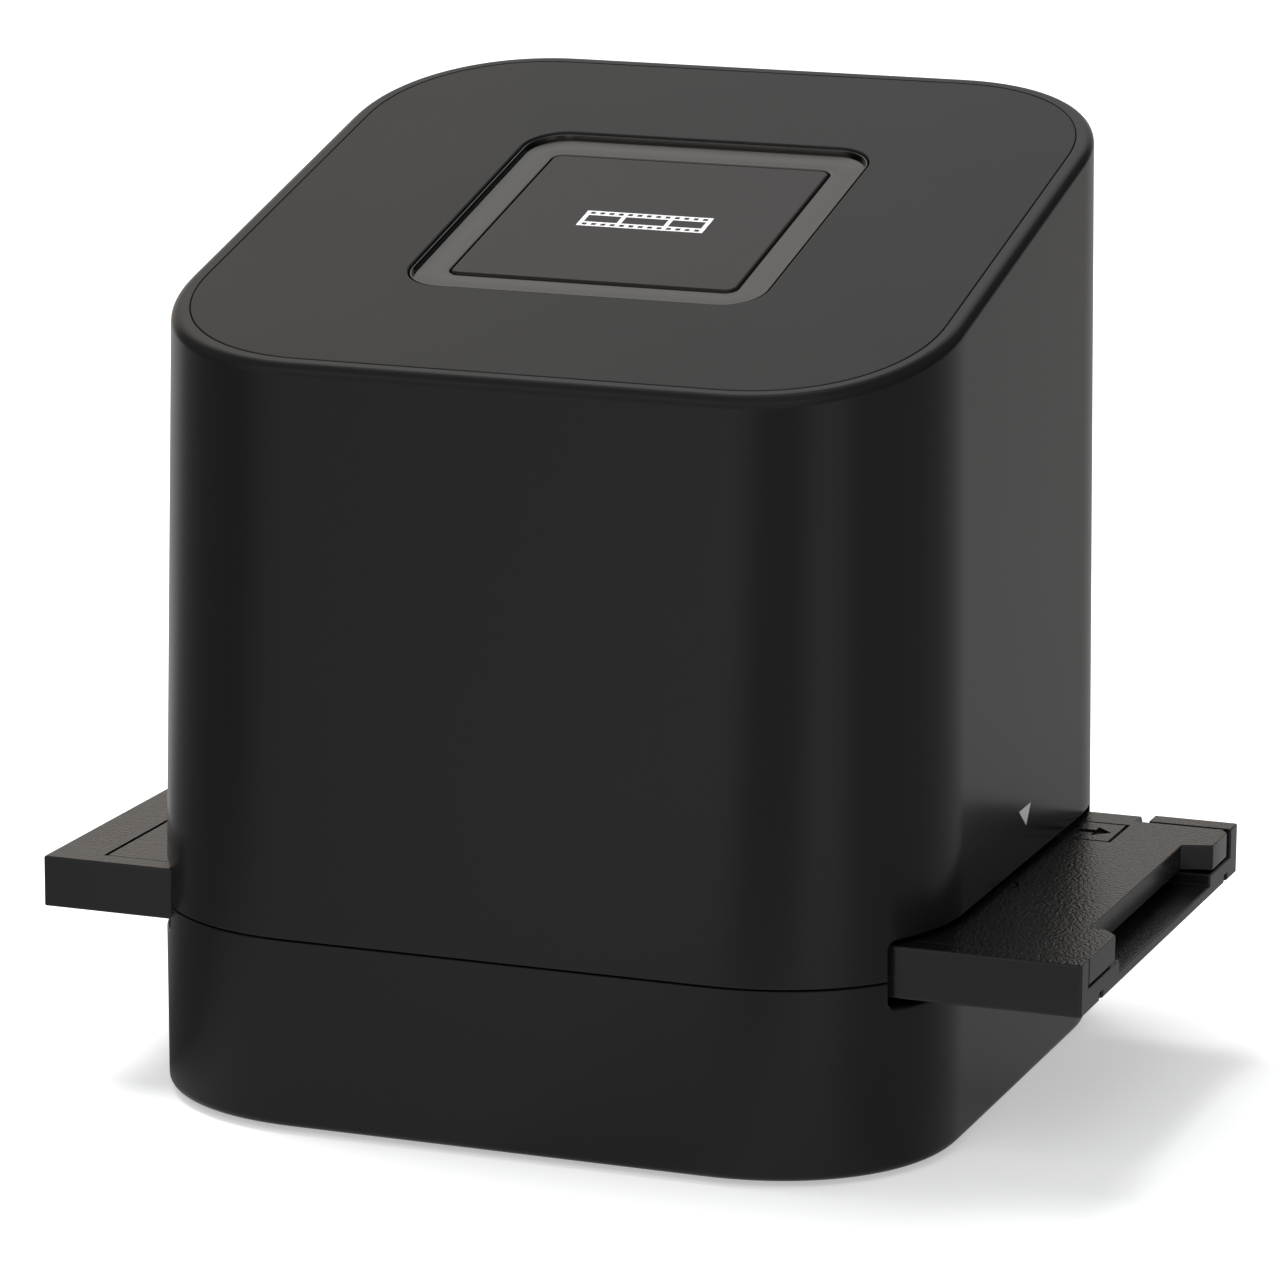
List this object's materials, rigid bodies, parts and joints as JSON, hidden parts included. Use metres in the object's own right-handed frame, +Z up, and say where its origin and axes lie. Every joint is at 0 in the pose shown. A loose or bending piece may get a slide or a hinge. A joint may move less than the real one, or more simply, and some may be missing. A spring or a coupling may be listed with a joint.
{
  "type": "film negative scanner",
  "caption": "Rounded square desktop film scanner with a sloped top, a square scan button and a film tray that slides through its sides.",
  "frame": {"origin": "centre of the body in plan, in the plane of the rubber feet's undersides", "axes": "+X to the right, along the film tray; +Y to the rear; +Z up"},
  "size_m": [0.1142, 0.0846, 0.102],
  "materials": {
    "housing_plastic": "satin moulded ABS, black",
    "plate_plastic": "fine matt moulded ABS, black",
    "bezel_plastic": "smoked gloss",
    "button_plastic": "gloss, dark brownish black",
    "tray_plastic": "fine leather grain, black",
    "inner_plastic": "matt black moulding",
    "white_plastic": "matt white moulding",
    "opal_plastic": "opal acrylic",
    "circuit_board": "green solder mask",
    "white_board": "white solder mask",
    "chip_plastic": "moulded epoxy",
    "socket_plastic": "ivory moulding",
    "led_resin": "clear resin over phosphor",
    "ribbon_film": "white film",
    "screw_steel": "zinc-plated",
    "spring_steel": "bright",
    "tinned_steel": "tin-plated",
    "lens_aluminium": "black anodised",
    "lens_glass": "coated",
    "filter_glass": "clear, faint cyan",
    "foot_rubber": "matt"
  },
  "bodies": {
    "body": {"upper_housing": "housing_plastic", "base_housing": "housing_plastic", "top_plate": "plate_plastic", "button_bezel": "bezel_plastic", "button_board": "circuit_board", "tact_switch": "chip_plastic", "button_board_screws": "screw_steel", "slide_bed": "inner_plastic", "bed_screws": "screw_steel", "film_gate": "inner_plastic", "gate_screws": "screw_steel", "detent_spring": "spring_steel", "backlight_board": "white_board", "backlight_leds": "led_resin", "backlight_screws": "screw_steel", "reflector_box": "white_plastic", "diffuser": "opal_plastic", "light_tunnel": "inner_plastic", "tunnel_screws": "screw_steel", "lens_holder": "inner_plastic", "lens_barrel": "lens_aluminium", "lens_elements": "lens_glass", "infrared_filter": "filter_glass", "sensor_board": "circuit_board", "sensor_chip": "chip_plastic", "sensor_screws": "screw_steel", "main_board": "circuit_board", "main_board_chips": "chip_plastic", "usb_socket": "tinned_steel", "main_board_screws": "screw_steel", "ribbon_sockets": "socket_plastic", "sensor_ribbon": "ribbon_film", "backlight_ribbon": "ribbon_film", "button_ribbon": "ribbon_film", "rubber_feet": "foot_rubber", "housing_screws": "screw_steel"},
    "tray": {"tray_base": "tray_plastic", "tray_lid": "tray_plastic", "hinge_pins": "spring_steel"},
    "button": {"scan_button": "button_plastic"},
    "plunger": {"switch_plunger": "socket_plastic"}
  },
  "joints": [
    {"name": "tray_slide", "type": "slide", "parent": "body", "child": "tray", "axis": [1, 0, 0], "range_m": [-0.0945, 0.09]},
    {"name": "scan_press", "type": "slide", "parent": "body", "child": "button", "axis": [0, 0.2554, -0.9668], "range_m": [0, 0.0008], "stiffness_N_per_m": 600, "springref_m": -0.0005},
    {"name": "plunger_slide", "type": "slide", "parent": "body", "child": "plunger", "axis": [0, 0.2554, -0.9668], "range_m": [0, 0.0008]}
  ],
  "couplings": [
    {"joint": "plunger_slide", "follows": "scan_press", "ratio": 1}
  ]
}
